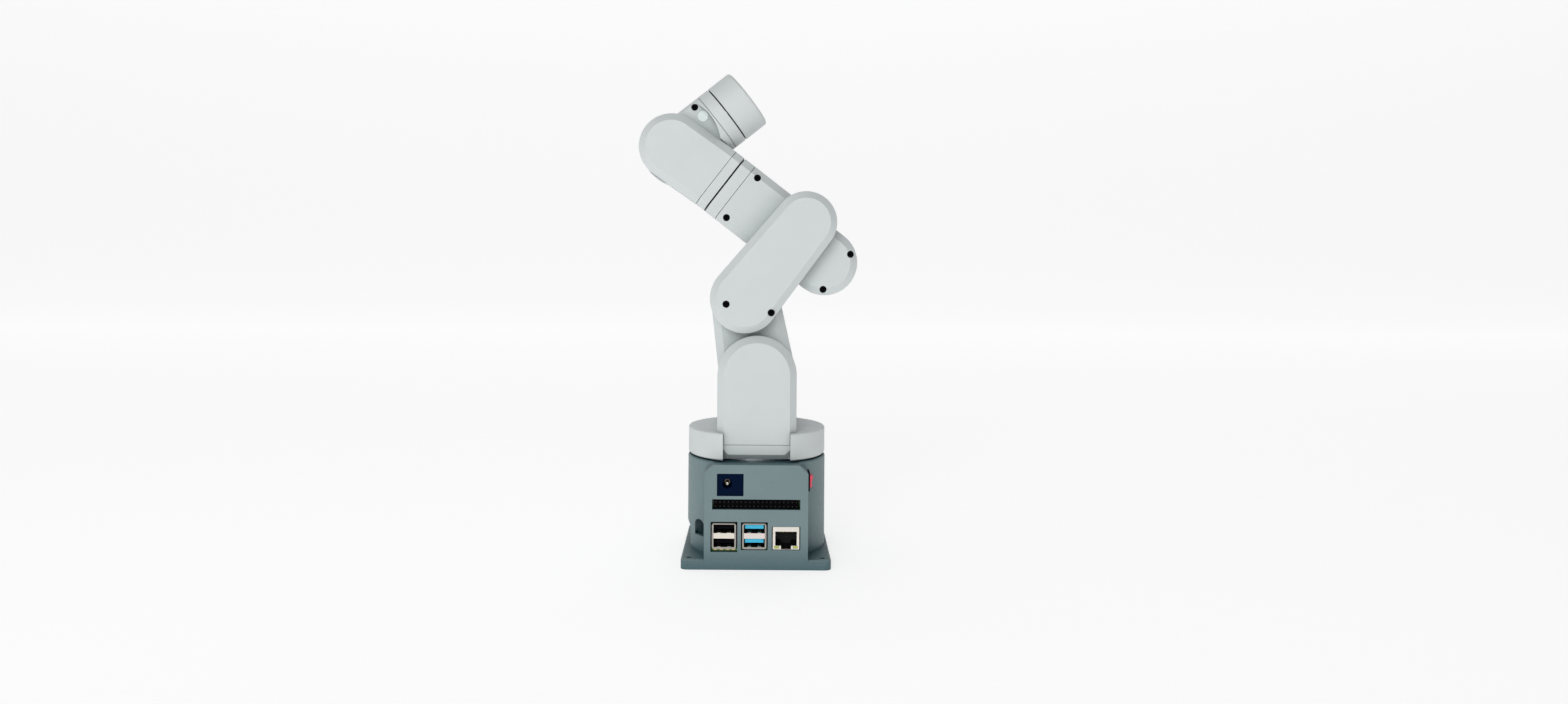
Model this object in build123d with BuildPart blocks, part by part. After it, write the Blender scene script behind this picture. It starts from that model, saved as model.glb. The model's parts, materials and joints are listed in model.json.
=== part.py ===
"""Six-axis desktop robot arm: slate base with a single-board computer, white arm, tool flange.

Frame: millimetres, +Z up, origin on the first joint's axis at the bottom of the base.
The computer's ports face -Y. All arm links lie in three layers across Y: a near layer (-Y),
a middle layer and a far layer, so that each link turns between or beside its neighbours.
"""
import os
from math import atan2, cos, degrees, radians, sin, tan

from build123d import *

os.makedirs("parts", exist_ok=True)

# ---- Driving dimensions: base -------------------------------------------------------
plate_half = 45.0           # half the square foot plate
plate_t = 6.0
plate_corner_r = 4.0
foot_hole_offset = 40.0     # corner screw holes, from the centre line each way
foot_hole_r = 1.6
body_r = 43.2               # round body of the base
body_top = 62.4
port_box_half = 31.0        # the flat-ended box that holds the computer
port_box_bevel_x = 5.5
port_box_bevel_z = 5.0
wall = 2.5
deck_t = 3.0
lid_t = 2.4                 # bottom cover of the base
lid_gap = 0.2
bottom_screw_l = 7.0
boss_front = (32.3, -19.0)  # bosses that take the bottom screws, each side
boss_back = (30.5, 21.8)
boss_r = 3.6
boss_top = 10.6

board_w = 56.0              # single-board computer
board_l = 84.7
board_t = 1.4
board_z = 10.9
board_front = -42.3         # y of the edge with the ports
board_hole_x = 24.5
board_hole_back = (3.5, 61.5)   # hole rows, from the edge away from the ports

usb2_x = -19.1
usb3_x = -1.0
usb_shell = (14.4, 17.0, 15.2)  # x, y, z of a double socket
usb_port = (12.5, 5.1)          # clear opening of one socket, x by z
usb_port_z = (16.0, 24.3)       # centres of the two openings
usb_front = -44.6
ethernet_x = 17.9
ethernet_shell = (15.8, 21.0, 13.4)
ethernet_port = (12.8, 8.4)
ethernet_port_z = 18.7
ethernet_key = (6.0, 2.0)
ethernet_front = -44.7
header_z = 38.95                # 2 x 20 pin header in the rear wall
header_pitch = 2.54
header_pins = 20
dc_centre = (-15.55, 50.55)
dc_block = (15.7, 13.1)
dc_hole = (-17.3, 51.1)
dc_hole_r = 2.9
power_board_y = -38.0           # face of the upright board behind the wall

switch_y = -37.6                # power rocker on the right wall of the port box
switch_z = 52.2
switch_bezel = (12.4, 11.4)     # y by z
switch_window = (9.4, 8.2)
bezel_out = 1.0

# ---- Driving dimensions: arm --------------------------------------------------------
joint2 = (0.0, 114.2)           # x, z of the shoulder axis, parallel to Y
elbow_low = (-7.9, 161.0)       # lower centre of the upper arm's side plates
joint3 = (29.3, 207.9)          # x, z of the elbow axis
forearm_angle = 142.4           # direction of the forearm in the XZ plane
forearm_offset = 12.05          # forearm centre line below the elbow axis
forearm_back = 24.5             # the round rear end's centre, behind the elbow axis
joint5_along = 95.0             # wrist axis, from the elbow axis along the forearm
wrist_offset = 13.5             # and below it, a little under the forearm's centre line
seam4_along = 54.2              # middle of the forearm's turning seam
tool_angle = 38.4               # direction of the tool axis in the XZ plane

layer_mid = 19.5                # half thickness of the middle layer
limb_half = 20.5                # half width of the forearm and wrist, seen from the side
layer_in = 20.3                 # inner faces of the outer layers
layer_out = 34.0                # outer faces of the outer layers
cover_t = 5.0
inner_bevel_less = 1.45     # a cavity's bevel is smaller than the outer one, for an even wall
ear_r = 24.2                    # shoulder ears and column half width
ear_bevel = 4.2
upper_low_r = 23.8              # upper arm's body, round the shoulder axis
upper_high_r = 21.2
elbow_r = 18.9
elbow_clear_r = 48.9            # hollow that lets the forearm's rear end swing
plate_bevel = 4.2
body_bevel = 5.0
forearm_bevel = 4.6
crotch_z = 89.9                 # floor of the shoulder fork, which falls away on both sides
crotch_flat = 4.0
crotch_slope = 13.0

disc_r = 43.0                   # turntable
disc_z0 = 63.6
disc_z1 = 79.8
foot_line_z = 72.4              # panel line across the foot of the shoulder
disc_wall = 2.5
bearing_r = (28.0, 31.0)
bearing_h = 3.2

wrist_ear_in = 11.0             # inner faces of the wrist's two ears
wrist_block_along = -30.5       # block behind the ears, from the wrist axis
seam_gap = 1.0
forearm_ring_t = 7.7
wrist_ring_t = 6.2
panel_gap = 0.25
head_r = 20.6                   # round rear of the tool head
tool_offset = 4.0               # tool axis below the wrist axis
head_half = 10.5
head_flat_r = 30.8              # the tube is flat on both sides inside this, about the wrist axis,
ear_at_limits = ((-76.0, 22.6), (65.0, 21.0))   # and where the ears pass: direction, half width
tube_r = 19.8
tube_ring = (31.9, 39.5)        # ring at the end of the tool head, along the tool axis
flange_along = (40.3, 57.0)

shaft_r = 3.0                   # servo output shafts
shaft_hole_r = 3.05
shaft_in = 3.0
face_gap = 0.3                  # between a servo's face and its horn
screw_r = 2.1
screw_sink = 0.8
flange_pcd = 25.0
flange_holes = 4
flange_hole_r = 1.25
pilot_r = 5.0
pilot_depth = 3.0

# ---- Directions and planes ----------------------------------------------------------
near_normal = (0, -1, 0)


def direction(angle):
    """Unit vector in the XZ plane, measured from +X towards +Z."""
    return Vector(cos(radians(angle)), 0, sin(radians(angle)))


forearm_dir = direction(forearm_angle)
forearm_side = Vector(-forearm_dir.Z, 0, forearm_dir.X)     # towards the forearm's underside
tool_dir = direction(tool_angle)
elbow = Vector(joint3[0], 0, joint3[1])
wrist_axis = elbow + forearm_dir * joint5_along + forearm_side * wrist_offset
tool_side = Vector(-tool_dir.Z, 0, tool_dir.X)              # away from the forearm

# Each plane looks from the near side: local x runs along the link, normal points to -Y.
forearm_plane = Plane(origin=elbow, x_dir=forearm_dir, z_dir=near_normal)
wrist_plane = Plane(origin=wrist_axis, x_dir=forearm_dir, z_dir=near_normal)
tool_axis_start = wrist_axis - tool_side * tool_offset
tool_plane = Plane(origin=tool_axis_start, x_dir=tool_dir, z_dir=near_normal)

forearm_end = seam4_along - seam_gap / 2
forearm_ring_start = forearm_end - forearm_ring_t
wrist_start = seam4_along + seam_gap / 2 - joint5_along
wrist_ring_end = wrist_start + wrist_ring_t


# ---- Shared shapes ------------------------------------------------------------------
def save(piece, name):
    """Label a finished piece and write its file."""
    piece.part.label = name
    export_step(piece.part, f"parts/{name}.step")


def along_forearm(distance):
    """Plane across the forearm's centre line, at a distance from the elbow axis."""
    centre = elbow + forearm_dir * distance + forearm_side * forearm_offset
    return Plane(origin=centre, x_dir=(0, -1, 0), z_dir=forearm_dir)


def along_tool(distance):
    """Plane across the tool axis, at a distance from its start below the wrist axis."""
    return Plane(origin=tool_axis_start + tool_dir * distance, x_dir=(0, -1, 0), z_dir=tool_dir)


def limb_section(shrink, bevel):
    """Forearm's cross-section, a rectangle with cut corners, added to the sketch being built."""
    deep = layer_mid - shrink
    high = limb_half - shrink
    corners = [
        (deep, high - bevel), (deep - bevel, high), (bevel - deep, high), (-deep, high - bevel),
        (-deep, bevel - high), (bevel - deep, -high), (deep - bevel, -high), (deep, bevel - high),
    ]
    Polygon(*corners, align=None)


def two_circle_hull(centre_a, radius_a, centre_b, radius_b):
    """Outline that wraps two circles, added to the sketch being built."""
    with Locations(centre_a):
        Circle(radius_a)
    with Locations(centre_b):
        Circle(radius_b)
    make_hull()


def ear_outline(half, foot_z):
    """Upright plate outline with a round top about the shoulder axis."""
    with Locations((0, (foot_z + joint2[1]) / 2)):
        Rectangle(2 * half, joint2[1] - foot_z)
    with Locations(joint2):
        Circle(half)


def make_servo(face, length, width, height, overhang, turn=0):
    """Geared servo behind a face plane; the face's origin is the output shaft's centre."""
    turned = face.rotated((0, 0, turn))
    with BuildPart() as servo:
        with BuildSketch(turned):
            with Locations((length / 2 - overhang, 0)):
                RectangleRounded(length, width, 1.5)
        extrude(amount=-height)
        with BuildSketch(turned):
            Circle(shaft_hole_r)
        extrude(amount=-(shaft_in + 0.4), mode=Mode.SUBTRACT)
    return servo


def make_horn(face, hub_r, hub_top, disc_radius, disc_t):
    """Output shaft, hub and disc of a servo, in front of the servo's face plane."""
    with BuildPart() as horn:
        with BuildSketch(face.offset(-shaft_in)):
            Circle(shaft_r)
        extrude(amount=shaft_in + face_gap)
        with BuildSketch(face.offset(face_gap)):
            Circle(hub_r)
        extrude(amount=hub_top - face_gap)
        with BuildSketch(face.offset(hub_top)):
            Circle(disc_radius)
        extrude(amount=disc_t)
    return horn


def make_bearing(face, inner_r, outer_r, thickness):
    """Plain bearing ring."""
    with BuildPart() as ring:
        with BuildSketch(face):
            Circle(outer_r)
            Circle(inner_r, mode=Mode.SUBTRACT)
        extrude(amount=thickness)
    return ring


def make_screws(planes, radius, length):
    """Socket-head screws, each with its head on a plane and its shank behind it."""
    with BuildPart() as screws:
        for place in planes:
            with BuildSketch(place):
                Circle(radius)
                RegularPolygon(radius * 0.55, 6, mode=Mode.SUBTRACT)
            extrude(amount=-radius * 0.9)
            with BuildSketch(place.offset(-radius * 0.9)):
                Circle(radius * 0.55)
            extrude(amount=-length)
    return screws


# ---- Base ---------------------------------------------------------------------------
def body_outline(shrink):
    """Round body with the port box through it, drawn smaller by a wall's thickness."""
    Circle(body_r - shrink)
    Rectangle(2 * (port_box_half - shrink), 2 * (plate_half - shrink))


port_wall = Plane.XZ.offset(plate_half)
side_wall = Plane.YZ.offset(port_box_half)
boss_spots = [(side * x, y) for side in (-1, 1) for x, y in (boss_front, boss_back)]
corner_spots = [(sx * foot_hole_offset, sy * foot_hole_offset) for sx in (-1, 1) for sy in (-1, 1)]
pocket_x = -40.8            # backing wall of the cable pocket on the left side
pocket_half_y = 26.0
pocket_top = 19.0
windows_y = ((-14.0, 8.8), (11.2, 22.0))    # openings behind the pocket, at the side sockets
window_z = (10.5, 18.5)
rib_y = 10.0                # rib between the two windows
rib_x = -33.5               # its free edge
side_port_rows = ((11.2, 9.0), (26.0, 7.0), (39.5, 7.0), (54.0, 7.0))     # place and width

with BuildPart() as base_shell:
    with BuildSketch():
        RectangleRounded(2 * plate_half, 2 * plate_half, plate_corner_r)
    extrude(amount=plate_t)
    chamfer(base_shell.faces().sort_by(Axis.Z)[-1].edges(), 0.8)
    with BuildSketch(Plane.XY.offset(plate_t - 0.5)):
        Circle(body_r)
    extrude(amount=body_top - plate_t + 0.5)
    chamfer(base_shell.faces().sort_by(Axis.Z)[-1].edges(), 0.8)
    with BuildSketch(Plane.XZ.offset(-plate_half)):
        with BuildLine():
            Polyline(
                (-port_box_half, 0.5),
                (port_box_half, 0.5),
                (port_box_half, body_top - port_box_bevel_z),
                (port_box_half - port_box_bevel_x, body_top),
                (port_box_bevel_x - port_box_half, body_top),
                (-port_box_half, body_top - port_box_bevel_z),
                close=True,
            )
        make_face()
    extrude(amount=2 * plate_half)
    # main cavity, open at the bottom
    with BuildSketch():
        body_outline(wall)
    extrude(amount=body_top - deck_t - port_box_bevel_z, mode=Mode.SUBTRACT)
    with BuildSketch():
        Circle(body_r - wall)
    extrude(amount=body_top - deck_t, mode=Mode.SUBTRACT)
    # cable pocket on the left side, with its backing wall and window
    with BuildSketch(Plane.XZ.offset(-pocket_half_y)):
        with BuildLine():
            Polyline(
                (-body_r - 1, plate_t),
                (pocket_x, plate_t),
                (pocket_x, pocket_top),
                (-body_r - 1, pocket_top + body_r + 1 + pocket_x),
                close=True,
            )
        make_face()
    extrude(amount=2 * pocket_half_y, mode=Mode.SUBTRACT)
    with BuildSketch(Plane.XY.offset(lid_t + 0.2)):
        Circle(body_r - 0.1)
        with Locations((pocket_x + wall / 2, 0)):
            Rectangle(wall, 44.0, mode=Mode.INTERSECT)
    extrude(amount=pocket_top + 5.0 - lid_t)
    with BuildSketch(Plane.YZ.offset(-body_r - 1)):
        for start, end in windows_y:
            with Locations(((start + end) / 2, (window_z[0] + window_z[1]) / 2)):
                RectangleRounded(end - start, window_z[1] - window_z[0], 2)
        with Locations((board_front + board_l - side_port_rows[0][0], board_z + board_t + 1.7)):
            RectangleRounded(11.0, 5.4, 1.5)
    extrude(amount=16.5, mode=Mode.SUBTRACT)
    # rib between the windows
    with BuildSketch(Plane.XY.offset(lid_t + 0.2)):
        with Locations(((pocket_x + rib_x) / 2, rib_y)):
            Rectangle(rib_x - pocket_x, 2.0)
    extrude(amount=pocket_top - lid_t)
    # arched slot in the wall left of the port box
    with BuildSketch(Plane.XZ.offset(10)):
        with Locations((-34.75, 19.2)):
            Rectangle(5.6, 7.0)
        with Locations((-34.75, 22.7)):
            Circle(2.8)
    extrude(amount=30, mode=Mode.SUBTRACT)
    # connector cut-outs
    with BuildSketch(port_wall):
        with Locations(dc_centre):
            Rectangle(dc_block[0] + 0.2, dc_block[1] + 0.2)
        with Locations((0, header_z)):
            Rectangle(52.5, 6.1)
        with Locations((usb2_x, 19.6)):
            Rectangle(16.0, 18.0)
        with Locations((usb3_x, 20.15)):
            Rectangle(16.0, 16.6)
        with Locations((ethernet_x, 18.95)):
            Rectangle(17.0, 13.85)
    extrude(amount=-8.0, mode=Mode.SUBTRACT)
    with BuildSketch(side_wall):
        with Locations((switch_y, switch_z)):
            Rectangle(switch_bezel[0] - 1.4, switch_bezel[1] - 1.4)
    extrude(amount=-9.0, mode=Mode.SUBTRACT)
    # bosses for the bottom screws, screw holes in the foot, hole for the first servo's hub
    with BuildSketch(Plane.XY.offset(lid_t)):
        with Locations(*boss_spots):
            Circle(boss_r)
    extrude(amount=boss_top - lid_t)
    with BuildSketch(Plane.XY.offset(lid_t)):
        with Locations(*boss_spots):
            Circle(1.0)
    extrude(amount=bottom_screw_l, mode=Mode.SUBTRACT)
    with BuildSketch():
        with Locations(*corner_spots):
            Circle(foot_hole_r)
    extrude(amount=plate_t, mode=Mode.SUBTRACT)
    with BuildSketch(Plane.XY.offset(body_top - deck_t)):
        Circle(6.0)
    extrude(amount=deck_t, mode=Mode.SUBTRACT)
save(base_shell, "base_shell")

with BuildPart() as base_bottom_plate:
    with BuildSketch():
        body_outline(wall + lid_gap)
    extrude(amount=lid_t)
    with BuildSketch():
        with Locations(*boss_spots):
            Circle(1.3)
    extrude(amount=lid_t, mode=Mode.SUBTRACT)
    with BuildSketch():
        with Locations(*boss_spots):
            Circle(2.2)
    extrude(amount=1.3, mode=Mode.SUBTRACT)
save(base_bottom_plate, "base_bottom_plate")

with BuildPart() as bottom_screws:
    with BuildSketch(Plane.XY.offset(0.2)):
        with Locations(*boss_spots):
            Circle(2.0)
    extrude(amount=1.1)
    with BuildSketch(Plane.XY.offset(1.3)):
        with Locations(*boss_spots):
            Circle(1.0)
    extrude(amount=bottom_screw_l)
save(bottom_screws, "bottom_screws")

# ---- Computer and its connectors ----------------------------------------------------
board_back = board_front + board_l
board_holes = [(sx * board_hole_x, board_back - row) for sx in (-1, 1) for row in board_hole_back]
board_top = board_z + board_t

with BuildPart() as computer_board:
    with BuildSketch(Plane.XY.offset(board_z)):
        with Locations((0, board_front + board_l / 2)):
            RectangleRounded(board_w, board_l, 2.5)
        with Locations(*board_holes):
            Circle(1.35, mode=Mode.SUBTRACT)
    extrude(amount=board_t)
save(computer_board, "computer_board")

with BuildPart() as board_chips:
    with BuildSketch(Plane.XY.offset(board_top)):
        with Locations((-3, 18)):
            Rectangle(15, 15)
        with Locations((12, 2)):
            Rectangle(10, 10)
        with Locations((-8, -4)):
            Rectangle(9, 9)
    extrude(amount=1.6)
save(board_chips, "board_chips")

with BuildPart() as board_standoffs:
    with BuildSketch(Plane.XY.offset(lid_t)):
        with Locations(*board_holes):
            Circle(2.6)
    extrude(amount=board_z - lid_t)
    with BuildSketch(Plane.XY.offset(board_z)):
        with Locations(*board_holes):
            Circle(1.25)
    extrude(amount=board_t)
    with BuildSketch(Plane.XY.offset(board_top)):
        with Locations(*board_holes):
            Circle(2.5)
    extrude(amount=1.6)
save(board_standoffs, "board_standoffs")

with BuildPart() as side_ports:
    with BuildSketch(Plane.XY.offset(board_top)):
        for row, width in side_port_rows:
            with Locations((-board_w / 2 + 2.6, board_back - row)):
                Rectangle(7.4, width)
    extrude(amount=3.4)
save(side_ports, "side_ports")


def usb_stack(centre_x):
    """Metal case of a double USB socket with two openings and a divider between them."""
    with BuildPart() as case:
        with BuildSketch(Plane.XZ.offset(-usb_front)):
            with Locations((centre_x, board_top + usb_shell[2] / 2)):
                RectangleRounded(usb_shell[0], usb_shell[2], 1.4)
        extrude(amount=-usb_shell[1])
        with BuildSketch(Plane.XZ.offset(-usb_front)):
            for level in usb_port_z:
                with Locations((centre_x, level)):
                    Rectangle(*usb_port)
        extrude(amount=-12.0, mode=Mode.SUBTRACT)
    return case


def usb_tongues(centre_x, drop, thickness):
    """Contact tongues of a double socket, one near the top of each opening."""
    with BuildPart() as tongues:
        with BuildSketch(Plane.XZ.offset(-usb_front - 1.0)):
            for level in usb_port_z:
                with Locations((centre_x, level + usb_port[1] / 2 - drop)):
                    Rectangle(usb_port[0] - 1.4, thickness)
        extrude(amount=-11.0)
    return tongues


usb2_stack = usb_stack(usb2_x)
save(usb2_stack, "usb2_stack")
usb2_tongues = usb_tongues(usb2_x, 2.0, 1.6)
save(usb2_tongues, "usb2_tongues")
usb3_stack = usb_stack(usb3_x)
save(usb3_stack, "usb3_stack")
usb3_tongues = usb_tongues(usb3_x, 1.45, 2.2)
save(usb3_tongues, "usb3_tongues")

with BuildPart() as ethernet_jack:
    with BuildSketch(Plane.XZ.offset(-ethernet_front)):
        with Locations((ethernet_x, board_top + ethernet_shell[2] / 2)):
            Rectangle(ethernet_shell[0], ethernet_shell[2])
    extrude(amount=-ethernet_shell[1])
    with BuildSketch(Plane.XZ.offset(-ethernet_front)):
        with Locations((ethernet_x, ethernet_port_z)):
            Rectangle(*ethernet_port)
        with Locations((ethernet_x, ethernet_port_z - ethernet_port[1] / 2 - ethernet_key[1] / 2)):
            Rectangle(ethernet_key[0], ethernet_key[1])
    extrude(amount=-15.0, mode=Mode.SUBTRACT)
    with BuildSketch(Plane.XZ.offset(-ethernet_front)):
        with Locations((ethernet_x - 5.6, 13.6), (ethernet_x + 5.6, 13.6)):
            Rectangle(2.8, 1.4)
    extrude(amount=-3.0, mode=Mode.SUBTRACT)
save(ethernet_jack, "ethernet_jack")

with BuildPart() as ethernet_leds:
    with BuildSketch(Plane.XZ.offset(-ethernet_front - 0.1)):
        with Locations((ethernet_x - 5.6, 13.6), (ethernet_x + 5.6, 13.6)):
            Rectangle(2.6, 1.2)
    extrude(amount=-2.6)
save(ethernet_leds, "ethernet_leds")

with BuildPart() as power_board:
    with BuildSketch(Plane.XZ.offset(-power_board_y)):
        with Locations((0, 40.0)):
            Rectangle(54.0, 9.0)
        with Locations((-3.5, 49.0)):
            Rectangle(47.0, 10.4)
    extrude(amount=-1.5)
save(power_board, "power_board")

with BuildPart() as gpio_header:
    with BuildSketch(Plane.XZ.offset(-power_board_y)):
        with Locations((0, header_z)):
            Rectangle(header_pitch * header_pins, header_pitch * 2)
    extrude(amount=4.6)
    with BuildSketch(Plane.XZ.offset(-power_board_y)):
        with Locations((0, header_z)):
            with GridLocations(header_pitch, header_pitch, header_pins, 2):
                Rectangle(0.66, 0.66)
    extrude(amount=4.6, mode=Mode.SUBTRACT)
save(gpio_header, "gpio_header")

with BuildPart() as gpio_pins:
    with BuildSketch(Plane.XZ.offset(-power_board_y)):
        with Locations((0, header_z)):
            with GridLocations(header_pitch, header_pitch, header_pins, 2):
                Rectangle(0.64, 0.64)
    extrude(amount=6.2)
save(gpio_pins, "gpio_pins")

dc_front = plate_half - 0.5
with BuildPart() as dc_jack:
    with BuildSketch(Plane.XZ.offset(-power_board_y)):
        with Locations(dc_centre):
            Rectangle(*dc_block)
    extrude(amount=dc_front + power_board_y)
    with BuildSketch(Plane.XZ.offset(dc_front)):
        with Locations(dc_hole):
            Circle(dc_hole_r)
    extrude(amount=-5.8, mode=Mode.SUBTRACT)
save(dc_jack, "dc_jack")

with BuildPart() as dc_pin:
    with BuildSketch(Plane.XZ.offset(dc_front - 5.8)):
        with Locations(dc_hole):
            Circle(1.0)
    extrude(amount=5.0)
    fillet(dc_pin.faces().sort_by(Axis.Y)[0].edges(), 0.6)
save(dc_pin, "dc_pin")

# The rocker turns about an axis along Y, so its upper and lower halves press in turn.
rocker_axis_x = port_box_half - 0.6
rocker_depth = 2.6
rocker_pin_r = 0.8
rocker_half = (switch_window[0] - 0.7) / 2
rocker_plane = Plane(origin=(0, switch_y, 0), x_dir=(1, 0, 0), z_dir=near_normal)

with BuildPart() as switch_bezel_frame:
    with BuildSketch(side_wall):
        with Locations((switch_y, switch_z)):
            RectangleRounded(switch_bezel[0], switch_bezel[1], 0.8)
    extrude(amount=bezel_out)
    chamfer(switch_bezel_frame.faces().sort_by(Axis.X)[-1].outer_wire().edges(), 0.5)
    with BuildSketch(side_wall):
        with Locations((switch_y, switch_z)):
            Rectangle(switch_bezel[0] - 1.6, switch_bezel[1] - 1.6)
    extrude(amount=-8.0)
    with BuildSketch(side_wall.offset(bezel_out)):
        with Locations((switch_y, switch_z)):
            Rectangle(*switch_window)
    extrude(amount=-6.5 - bezel_out, mode=Mode.SUBTRACT)
    with BuildSketch(rocker_plane):
        with Locations((rocker_axis_x, switch_z)):
            Circle(rocker_pin_r + 0.06)
    extrude(amount=switch_bezel[0] / 2, both=True, mode=Mode.SUBTRACT)
save(switch_bezel_frame, "switch_bezel")

with BuildPart() as switch_rocker:
    with BuildSketch(rocker_plane):
        with BuildLine():
            Polyline(
                (rocker_axis_x - rocker_depth, switch_z + 2.6),
                (rocker_axis_x + 1.9, switch_z + 3.5),
                (rocker_axis_x + 3.6, switch_z + 2.9),
                (rocker_axis_x + 2.7, switch_z),
                (rocker_axis_x + 2.9, switch_z - 2.9),
                (rocker_axis_x + 1.4, switch_z - 3.7),
                (rocker_axis_x - rocker_depth, switch_z - 2.6),
                close=True,
            )
        make_face()
    extrude(amount=rocker_half, both=True)
    with BuildSketch(rocker_plane):
        with Locations((rocker_axis_x, switch_z)):
            Circle(rocker_pin_r)
    extrude(amount=rocker_half + 0.8, both=True)
save(switch_rocker, "switch_rocker")

servo1_face = Plane.XY.offset(body_top - deck_t)
j1_servo = make_servo(servo1_face, 40, 24, 29.0, 12)
save(j1_servo, "j1_servo")
j1_bearing = make_bearing(Plane.XY.offset(body_top), bearing_r[0], bearing_r[1], bearing_h)
save(j1_bearing, "j1_bearing")

# ---- Turntable and shoulder ---------------------------------------------------------
j1_horn = make_horn(servo1_face, 5.0, 6.0, 12.0, 2.5)
save(j1_horn, "j1_horn")
j1_horn_top = body_top - deck_t + 8.5
seat_half = ear_r + panel_gap                       # of the near side cover
foot_half = ear_r - ear_bevel + 1.4 * panel_gap     # of the disc's flat front

# what is cut off the flat foot's lower corner, on the right
with BuildPart() as foot_corner:
    with BuildSketch(Plane.XY.offset(disc_z0 - 0.1)):
        with Locations((foot_half - 3, -layer_out + 1.5)):
            Rectangle(6, 4)
    extrude(amount=8)
    cut = Plane(origin=(foot_half, -layer_out, disc_z0 + 6.4), z_dir=(1, -1.4, -1))
    split(bisect_by=cut, keep=Keep.TOP)

with BuildPart() as turntable_disc:
    with BuildSketch(Plane.XY.offset(disc_z0)):
        Circle(disc_r)
    extrude(amount=disc_z1 - disc_z0)
    chamfer(turntable_disc.faces().sort_by(Axis.Z)[-1].edges(), 0.6)
    chamfer(turntable_disc.faces().sort_by(Axis.Z)[0].edges(), 0.8)
    # the flat foot below the shoulder, set back into the disc, with a leaning-in lower edge
    with BuildSketch(Plane.XY.offset(disc_z0)):
        with Locations((0, -layer_out - 10)):
            Rectangle(2 * foot_half, 20)
    extrude(amount=disc_z1 - disc_z0, mode=Mode.SUBTRACT)
    with BuildSketch(Plane.YZ.offset(-foot_half)):
        with BuildLine():
            Polyline(
                (-layer_out - 0.1, disc_z0 - 0.1),
                (-layer_out + 3.2, disc_z0 - 0.1),
                (-layer_out - 0.1, disc_z0 + 3.2),
                close=True,
            )
        make_face()
    extrude(amount=2 * foot_half, mode=Mode.SUBTRACT)
    add(foot_corner.part, mode=Mode.SUBTRACT)
    add(foot_corner.part.mirror(Plane.YZ), mode=Mode.SUBTRACT)
    # cavity from below: bearing seat, then the wide hollow, with a boss for the horn
    with BuildSketch(Plane.XY.offset(disc_z0)):
        Circle(bearing_r[1] + 0.06)
    extrude(amount=bearing_h + 0.5, mode=Mode.SUBTRACT)
    with BuildSketch(Plane.XY.offset(disc_z0 + bearing_h - 0.2)):
        Circle(disc_r - disc_wall)
        Rectangle(3 * disc_r, 2 * (layer_out - 6.5), mode=Mode.INTERSECT)
        Circle(14.0, mode=Mode.SUBTRACT)
    extrude(amount=disc_z1 - 3.5 - disc_z0 - bearing_h + 0.2, mode=Mode.SUBTRACT)
    with BuildSketch(Plane.XY.offset(disc_z0)):
        Circle(14.0)
    extrude(amount=j1_horn_top - disc_z0, mode=Mode.SUBTRACT)
    # seat for the near side cover, following the cover's bevels
    with BuildSketch(Plane.XY.offset(foot_line_z)):
        with BuildLine():
            Polyline(
                (-seat_half, -layer_out + cover_t + panel_gap),
                (seat_half, -layer_out + cover_t + panel_gap),
                (seat_half, -layer_out + seat_half - foot_half),
                (foot_half, -layer_out),
                (foot_half, -layer_out - 1),
                (-foot_half, -layer_out - 1),
                (-foot_half, -layer_out),
                (-seat_half, -layer_out + seat_half - foot_half),
                close=True,
            )
        make_face()
    extrude(amount=disc_z1 - foot_line_z, mode=Mode.SUBTRACT)
save(turntable_disc, "turntable_disc")


def shoulder_cover(outer_y, sign, foot_z):
    """Outer cover of one shoulder ear, bevelled round its outer face."""
    with BuildPart() as cover:
        with BuildSketch(Plane.XZ.offset(outer_y)):
            ear_outline(ear_r, foot_z)
        extrude(amount=-sign * cover_t)
        face = cover.faces().sort_by(Axis.Y)[0 if sign > 0 else -1]
        rim = face.edges().filter_by(lambda e: e.center().Z > foot_z + 0.5)
        chamfer(rim, ear_bevel)
        # hollow behind the cover
        with BuildSketch(Plane.XZ.offset(outer_y - sign * cover_t)):
            ear_outline(ear_r - ear_bevel - 1.0, foot_z + 3)
        extrude(amount=sign * (cover_t - wall), mode=Mode.SUBTRACT)
    return cover


shoulder_side_cover = shoulder_cover(layer_out, 1, foot_line_z + panel_gap)
save(shoulder_side_cover, "shoulder_side_cover")
shoulder_far_cover = shoulder_cover(-layer_out, -1, disc_z1)
save(shoulder_far_cover, "shoulder_far_cover")

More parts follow.
